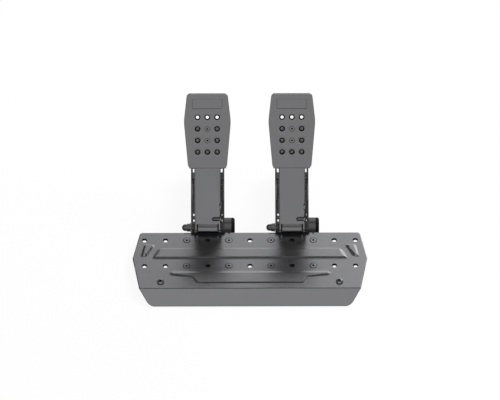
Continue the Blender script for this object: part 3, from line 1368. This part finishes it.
def stage_sheet(name, corners, material):
    """Four-cornered sheet of the stage."""
    mesh = bpy.data.meshes.new(name)
    mesh.from_pydata(corners, [], [(0, 1, 2, 3)])
    mesh.materials.append(material)
    sheet = bpy.data.objects.new(name, mesh)
    bpy.context.scene.collection.objects.link(sheet)
    return sheet


def make_floor():
    """Pale floor, seen as white apart from the shadow on it; the pieces mirror it as a grey one."""
    half = 6.0
    mirrored_tone, seen_tone = 0.45, 0.82
    mirrored_glow, seen_glow, glow_share = 0.4, 1.0, 0.92
    made = blank_material("floor")
    tree = made.node_tree
    seen = seen_rays(tree)
    pale = ramp(tree, seen, 0.0, 1.0, mirrored_tone, seen_tone)
    matt = node(tree, "ShaderNodeBsdfDiffuse", {"Color": pale})
    light = glow(tree, ramp(tree, seen, 0.0, 1.0, mirrored_glow, seen_glow))
    both = node(tree, "ShaderNodeMixShader", {"Fac": glow_share, 1: matt.outputs[0], 2: light})
    node(tree, "ShaderNodeOutputMaterial", {"Surface": both.outputs[0]})
    stage_sheet("floor", [(-half, -half, 0), (half, -half, 0), (half, half, 0), (-half, half, 0)], made)


def make_back_wall(settings):
    """White wall behind the set, brighter to the right, for the plate to mirror; not seen itself."""
    depth, right, shade = 4.0, 4.0, 2.2
    top = depth * math.tan(settings.panel_top)
    made = blank_material("back_wall")
    tree = made.node_tree
    place = node(tree, "ShaderNodeTexCoord").outputs["Object"]
    across = node(tree, "ShaderNodeSeparateXYZ", {"Vector": place}).outputs["X"]
    light = glow(tree, ramp(tree, across, -shade, shade, 0.0, 2.0 * settings.back_panel))
    node(tree, "ShaderNodeOutputMaterial", {"Surface": light})
    corners = [(-shade, depth, 0), (right, depth, 0), (right, depth, top), (-shade, depth, top)]
    wall = stage_sheet("back_wall", corners, made)
    wall.visible_camera = False
    wall.visible_shadow = False


def make_sky(scene, settings):
    """Studio that is seen as white: a dark room, a screen overhead and in front, and a panel at each side.

    The screen starts at an angle of the ray that is counted up from the wall behind, over the top. It fades
    out toward the sides, and it's a little weaker low in front.
    """
    soft_edge = math.radians(2.5)
    weaker_from, weaker_to, weaker = math.radians(105.0), math.radians(170.0), 0.87
    screen_in, screen_out, panel_full = 0.45, 0.8, 0.95
    world = bpy.data.worlds.new("studio")
    world.use_nodes = True
    tree = world.node_tree
    tree.nodes.clear()
    ray = node(tree, "ShaderNodeTexCoord").outputs["Generated"]
    part = node(tree, "ShaderNodeSeparateXYZ", {"Vector": ray}).outputs
    over = math_node(tree, "ARCTAN2", part["Z"], part["Y"])
    aside = math_node(tree, "ABSOLUTE", part["X"])
    edge = settings.screen_edge
    rising = ramp(tree, over, edge - soft_edge, edge + soft_edge, 0.0, settings.front_panel)
    screen = math_node(tree, "MULTIPLY", rising, ramp(tree, aside, screen_in, screen_out))
    screen = math_node(tree, "MULTIPLY", screen, ramp(tree, over, weaker_from, weaker_to, 1.0, weaker))
    sides = ramp(tree, aside, screen_out, panel_full, 0.0, settings.side_panel)
    level = math_node(tree, "MAXIMUM", math_node(tree, "MAXIMUM", screen, sides), settings.dark_panel)
    shown = node(tree, "ShaderNodeMix", {"Factor": seen_rays(tree), "A": level, "B": 1.0}).outputs[0]
    sky = node(tree, "ShaderNodeBackground", {"Color": WHITE, "Strength": shown})
    node(tree, "ShaderNodeOutputWorld", {"Surface": sky.outputs[0]})
    scene.world = world


def make_key_lamp(power):
    """Large soft lamp above and to the right, behind the set."""
    lamp = bpy.data.lights.new("key", "AREA")
    lamp.shape = "RECTANGLE"
    lamp.size, lamp.size_y = 1.6, 1.0
    lamp.energy = power
    placed_lamp = bpy.data.objects.new("key", lamp)
    placed_lamp.location = (1.5, 0.6, 2.2)
    placed_lamp.rotation_euler = (-placed_lamp.location).to_track_quat("-Z", "Y").to_euler()
    placed_lamp.visible_glossy = False
    bpy.context.scene.collection.objects.link(placed_lamp)


def make_camera(scene, settings):
    """Camera in front of the set, looking down at it."""
    camera = bpy.data.cameras.new("camera")
    camera.lens = camera.sensor_width * settings.distance / settings.frame_width
    camera.clip_end = 100.0
    target = Vector((settings.target_x, settings.target_height, settings.target_height))
    back = Vector((0.0, -math.cos(settings.elevation), math.sin(settings.elevation)))
    placed_camera = bpy.data.objects.new("camera", camera)
    look = (-back).to_track_quat("-Z", "Y").to_matrix() @ Matrix.Rotation(settings.roll, 3, "Z")
    placed_camera.rotation_euler = look.to_euler()
    placed_camera.location = target + back * settings.distance
    scene.collection.objects.link(placed_camera)
    scene.camera = placed_camera


class PEDALS_PT_panel(bpy.types.Panel):
    """Lists the steps that dress the pedal set"""

    bl_idname = "PEDALS_PT_panel"
    bl_label = "Pedal set"
    bl_space_type = "VIEW_3D"
    bl_region_type = "UI"
    bl_category = "Pedals"

    def draw(self, context):
        for step in STEPS:
            self.layout.operator(step.bl_idname)


STEPS = (PEDALS_OT_finishes, PEDALS_OT_heel_plate, PEDALS_OT_faces, PEDALS_OT_bent_pieces, PEDALS_OT_screws,
         PEDALS_OT_feet, PEDALS_OT_pivots, PEDALS_OT_spring_rods, PEDALS_OT_springs, PEDALS_OT_stage)
SETTINGS = {"pedal_plate": PlateSettings, "pedal_face": FaceSettings, "pedal_module": ModuleSettings,
            "pedal_stage": StageSettings, "pedal_finish": FinishSettings}
CLASSES = (*SETTINGS.values(), *STEPS, PEDALS_PT_panel)


def register():
    for made in CLASSES:
        bpy.utils.register_class(made)
    for name, group in SETTINGS.items():
        setattr(bpy.types.Scene, name, PointerProperty(type=group))


def unregister():
    for name in SETTINGS:
        delattr(bpy.types.Scene, name)
    for made in reversed(CLASSES):
        bpy.utils.unregister_class(made)


def main():
    """Registers the add-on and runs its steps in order."""
    for made in list(bpy.data.objects):
        if made.type in {"CAMERA", "LIGHT"} or made.name == "Cube":
            bpy.data.objects.remove(made)
    register()
    for step in STEPS:
        area, name = step.bl_idname.split(".")
        getattr(getattr(bpy.ops, area), name)()


if __name__ == "__main__":
    main()
